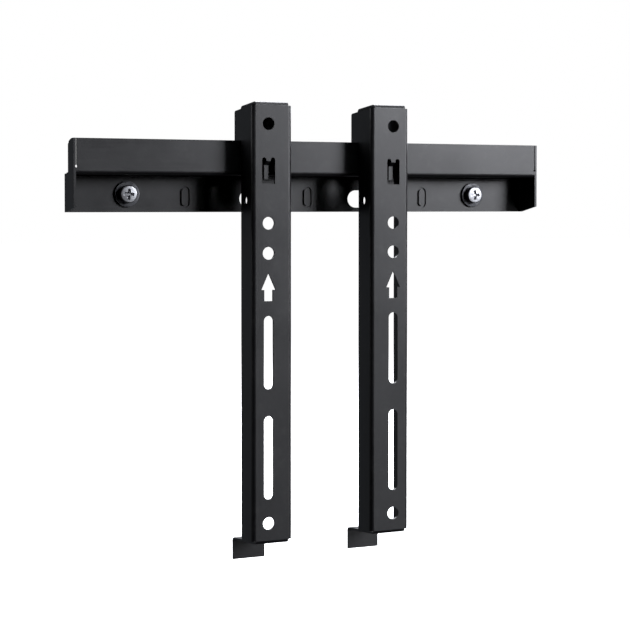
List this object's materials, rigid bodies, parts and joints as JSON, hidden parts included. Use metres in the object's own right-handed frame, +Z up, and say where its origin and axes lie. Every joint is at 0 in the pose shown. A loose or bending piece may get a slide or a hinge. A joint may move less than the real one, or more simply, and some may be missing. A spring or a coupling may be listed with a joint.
{
  "type": "tv wall mount",
  "caption": "Low-profile wall mount for a small flat screen: folded wall rail with closed ends and two hook-on channel brackets with screw holes, arrows and slots.",
  "frame": {"origin": "on the wall plane, midway between the two wall screws", "axes": "+X to the right along the rail as seen from the room, +Y into the wall, +Z up; the screen's side faces -Y"},
  "size_m": [0.262, 0.0746, 0.2342],
  "materials": {
    "black_coat": "satin, fine powder coat",
    "zinc_plate": "bright zinc plate"
  },
  "bodies": {
    "root": {"wall_rail": "black_coat", "left_bracket": "black_coat", "right_bracket": "black_coat", "left_washer": "zinc_plate", "right_washer": "zinc_plate", "left_wall_screw": "zinc_plate", "right_wall_screw": "zinc_plate"}
  },
  "joints": []
}
